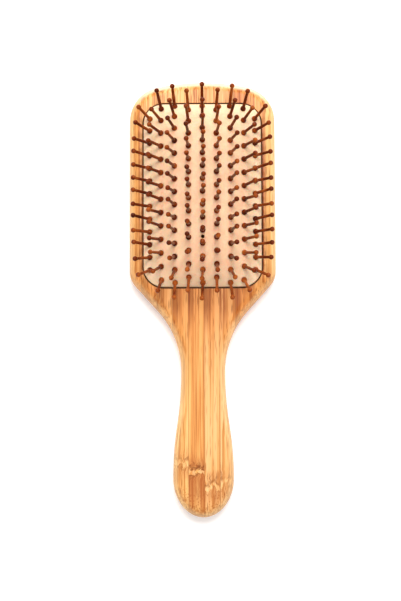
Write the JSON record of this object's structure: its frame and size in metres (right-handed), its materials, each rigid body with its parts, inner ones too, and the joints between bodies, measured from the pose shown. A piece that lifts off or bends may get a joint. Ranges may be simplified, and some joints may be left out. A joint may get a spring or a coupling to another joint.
{
  "type": "paddle brush",
  "caption": "Flat bamboo hair brush with a broad square head, a waisted handle and a domed rubber cushion set with ball-tipped bamboo pins.",
  "frame": {"origin": "middle of the brush's flat back, under the middle of its length", "axes": "+Z the way the pins point, +Y from the handle to the top of the head, +X to the right when the pins are looked at with the head up"},
  "size_m": [0.084, 0.25, 0.0435],
  "materials": {
    "bamboo": "satin lacquered laminated bamboo",
    "rubber": "matt natural rubber",
    "pins": "polished dark bamboo"
  },
  "bodies": {
    "paddle": {"bamboo_strip_1": "bamboo", "bamboo_strip_2": "bamboo", "bamboo_strip_3": "bamboo", "bamboo_strip_4": "bamboo", "bamboo_strip_5": "bamboo", "bamboo_strip_6": "bamboo", "bamboo_strip_7": "bamboo", "bamboo_strip_8": "bamboo", "bamboo_strip_9": "bamboo", "bamboo_strip_10": "bamboo"},
    "cushion": {"rubber_cushion": "rubber"},
    "column_1_handle": {"pins_column_1_handle": "pins"},
    "column_1_head": {"pins_column_1_head": "pins"},
    "column_1_middle": {"pins_column_1_middle": "pins"},
    "column_2_handle": {"pins_column_2_handle": "pins"},
    "column_2_head": {"pins_column_2_head": "pins"},
    "column_2_middle": {"pins_column_2_middle": "pins"},
    "column_3_handle": {"pins_column_3_handle": "pins"},
    "column_3_head": {"pins_column_3_head": "pins"},
    "column_3_middle": {"pins_column_3_middle": "pins"},
    "column_4_handle": {"pins_column_4_handle": "pins"},
    "column_4_head": {"pins_column_4_head": "pins"},
    "column_4_middle": {"pins_column_4_middle": "pins"},
    "column_5_handle": {"pins_column_5_handle": "pins"},
    "column_5_head": {"pins_column_5_head": "pins"},
    "column_5_middle": {"pins_column_5_middle": "pins"},
    "column_6_handle": {"pins_column_6_handle": "pins"},
    "column_6_head": {"pins_column_6_head": "pins"},
    "column_6_middle": {"pins_column_6_middle": "pins"},
    "column_7_handle": {"pins_column_7_handle": "pins"},
    "column_7_head": {"pins_column_7_head": "pins"},
    "column_7_middle": {"pins_column_7_middle": "pins"},
    "column_8_handle": {"pins_column_8_handle": "pins"},
    "column_8_head": {"pins_column_8_head": "pins"},
    "column_8_middle": {"pins_column_8_middle": "pins"},
    "column_9_handle": {"pins_column_9_handle": "pins"},
    "column_9_head": {"pins_column_9_head": "pins"},
    "column_9_middle": {"pins_column_9_middle": "pins"}
  },
  "joints": [
    {"name": "cushion_press", "type": "slide", "parent": "paddle", "child": "cushion", "axis": [0, 0, -1], "range_m": [0, 0.003], "stiffness_N_per_m": 900, "deforming": ["rubber_cushion"]},
    {"name": "column_1_handle_tilt", "type": "hinge", "parent": "cushion", "child": "column_1_handle", "pos_m": [-0.03008, 0.01795, 0.01884], "axis": [-0.0101, 0.9944, 0.1054], "range_deg": [-12, 12], "stiffness_Nm_per_rad": 0.0014},
    {"name": "column_1_head_tilt", "type": "hinge", "parent": "cushion", "child": "column_1_head", "pos_m": [-0.03008, 0.09805, 0.01884], "axis": [0.0101, 0.9944, -0.1054], "range_deg": [-12, 12], "stiffness_Nm_per_rad": 0.0014},
    {"name": "column_1_middle_tilt", "type": "hinge", "parent": "cushion", "child": "column_1_middle", "pos_m": [-0.03016, 0.058, 0.01966], "axis": [0, 1, 0], "range_deg": [-12, 12], "stiffness_Nm_per_rad": 0.0063},
    {"name": "column_2_handle_tilt", "type": "hinge", "parent": "cushion", "child": "column_2_handle", "pos_m": [-0.02356, 0.01606, 0.02107], "axis": [-0.0112, 0.9621, 0.2725], "range_deg": [-12, 12], "stiffness_Nm_per_rad": 0.0021},
    {"name": "column_2_head_tilt", "type": "hinge", "parent": "cushion", "child": "column_2_head", "pos_m": [-0.02356, 0.09993, 0.02107], "axis": [0.0112, 0.9621, -0.2725], "range_deg": [-12, 12], "stiffness_Nm_per_rad": 0.0021},
    {"name": "column_2_middle_tilt", "type": "hinge", "parent": "cushion", "child": "column_2_middle", "pos_m": [-0.02366, 0.058, 0.02362], "axis": [0, 1, 0], "range_deg": [-12, 12], "stiffness_Nm_per_rad": 0.0056},
    {"name": "column_3_handle_tilt", "type": "hinge", "parent": "cushion", "child": "column_3_handle", "pos_m": [-0.0158, 0.0141, 0.02214], "axis": [-0.0071, 0.9072, 0.4206], "range_deg": [-12, 12], "stiffness_Nm_per_rad": 0.0021},
    {"name": "column_3_head_tilt", "type": "hinge", "parent": "cushion", "child": "column_3_head", "pos_m": [-0.0158, 0.1019, 0.02214], "axis": [0.0071, 0.9072, -0.4206], "range_deg": [-12, 12], "stiffness_Nm_per_rad": 0.0021},
    {"name": "column_3_middle_tilt", "type": "hinge", "parent": "cushion", "child": "column_3_middle", "pos_m": [-0.01588, 0.058, 0.0264], "axis": [0, 1, 0], "range_deg": [-12, 12], "stiffness_Nm_per_rad": 0.0063},
    {"name": "column_4_handle_tilt", "type": "hinge", "parent": "cushion", "child": "column_4_handle", "pos_m": [-0.0079, 0.01715, 0.02429], "axis": [-0.0019, 0.9326, 0.361], "range_deg": [-12, 12], "stiffness_Nm_per_rad": 0.0021},
    {"name": "column_4_head_tilt", "type": "hinge", "parent": "cushion", "child": "column_4_head", "pos_m": [-0.0079, 0.09885, 0.02429], "axis": [0.0019, 0.9326, -0.361], "range_deg": [-12, 12], "stiffness_Nm_per_rad": 0.0021},
    {"name": "column_4_middle_tilt", "type": "hinge", "parent": "cushion", "child": "column_4_middle", "pos_m": [-0.00791, 0.058, 0.0277], "axis": [0, 1, 0], "range_deg": [-12, 12], "stiffness_Nm_per_rad": 0.0056},
    {"name": "column_5_handle_tilt", "type": "hinge", "parent": "cushion", "child": "column_5_handle", "pos_m": [0, 0.01407, 0.02299], "axis": [0, 0.8838, 0.4679], "range_deg": [-12, 12], "stiffness_Nm_per_rad": 0.0021},
    {"name": "column_5_head_tilt", "type": "hinge", "parent": "cushion", "child": "column_5_head", "pos_m": [0, 0.10193, 0.02299], "axis": [0, 0.8838, -0.4679], "range_deg": [-12, 12], "stiffness_Nm_per_rad": 0.0021},
    {"name": "column_5_middle_tilt", "type": "hinge", "parent": "cushion", "child": "column_5_middle", "pos_m": [0, 0.058, 0.02786], "axis": [0, 1, 0], "range_deg": [-12, 12], "stiffness_Nm_per_rad": 0.0063},
    {"name": "column_6_handle_tilt", "type": "hinge", "parent": "cushion", "child": "column_6_handle", "pos_m": [0.0079, 0.01715, 0.02429], "axis": [0.0019, 0.9326, 0.361], "range_deg": [-12, 12], "stiffness_Nm_per_rad": 0.0021},
    {"name": "column_6_head_tilt", "type": "hinge", "parent": "cushion", "child": "column_6_head", "pos_m": [0.0079, 0.09885, 0.02429], "axis": [-0.0019, 0.9326, -0.361], "range_deg": [-12, 12], "stiffness_Nm_per_rad": 0.0021},
    {"name": "column_6_middle_tilt", "type": "hinge", "parent": "cushion", "child": "column_6_middle", "pos_m": [0.00791, 0.058, 0.0277], "axis": [0, 1, 0], "range_deg": [-12, 12], "stiffness_Nm_per_rad": 0.0056},
    {"name": "column_7_handle_tilt", "type": "hinge", "parent": "cushion", "child": "column_7_handle", "pos_m": [0.0158, 0.0141, 0.02214], "axis": [0.0071, 0.9072, 0.4206], "range_deg": [-12, 12], "stiffness_Nm_per_rad": 0.0021},
    {"name": "column_7_head_tilt", "type": "hinge", "parent": "cushion", "child": "column_7_head", "pos_m": [0.0158, 0.1019, 0.02214], "axis": [-0.0071, 0.9072, -0.4206], "range_deg": [-12, 12], "stiffness_Nm_per_rad": 0.0021},
    {"name": "column_7_middle_tilt", "type": "hinge", "parent": "cushion", "child": "column_7_middle", "pos_m": [0.01588, 0.058, 0.0264], "axis": [0, 1, 0], "range_deg": [-12, 12], "stiffness_Nm_per_rad": 0.0063},
    {"name": "column_8_handle_tilt", "type": "hinge", "parent": "cushion", "child": "column_8_handle", "pos_m": [0.02356, 0.01606, 0.02107], "axis": [0.0112, 0.9621, 0.2725], "range_deg": [-12, 12], "stiffness_Nm_per_rad": 0.0021},
    {"name": "column_8_head_tilt", "type": "hinge", "parent": "cushion", "child": "column_8_head", "pos_m": [0.02356, 0.09993, 0.02107], "axis": [-0.0112, 0.9621, -0.2725], "range_deg": [-12, 12], "stiffness_Nm_per_rad": 0.0021},
    {"name": "column_8_middle_tilt", "type": "hinge", "parent": "cushion", "child": "column_8_middle", "pos_m": [0.02366, 0.058, 0.02362], "axis": [0, 1, 0], "range_deg": [-12, 12], "stiffness_Nm_per_rad": 0.0056},
    {"name": "column_9_handle_tilt", "type": "hinge", "parent": "cushion", "child": "column_9_handle", "pos_m": [0.03008, 0.01795, 0.01884], "axis": [0.0101, 0.9944, 0.1054], "range_deg": [-12, 12], "stiffness_Nm_per_rad": 0.0014},
    {"name": "column_9_head_tilt", "type": "hinge", "parent": "cushion", "child": "column_9_head", "pos_m": [0.03008, 0.09805, 0.01884], "axis": [-0.0101, 0.9944, -0.1054], "range_deg": [-12, 12], "stiffness_Nm_per_rad": 0.0014},
    {"name": "column_9_middle_tilt", "type": "hinge", "parent": "cushion", "child": "column_9_middle", "pos_m": [0.03016, 0.058, 0.01966], "axis": [0, 1, 0], "range_deg": [-12, 12], "stiffness_Nm_per_rad": 0.0063}
  ]
}
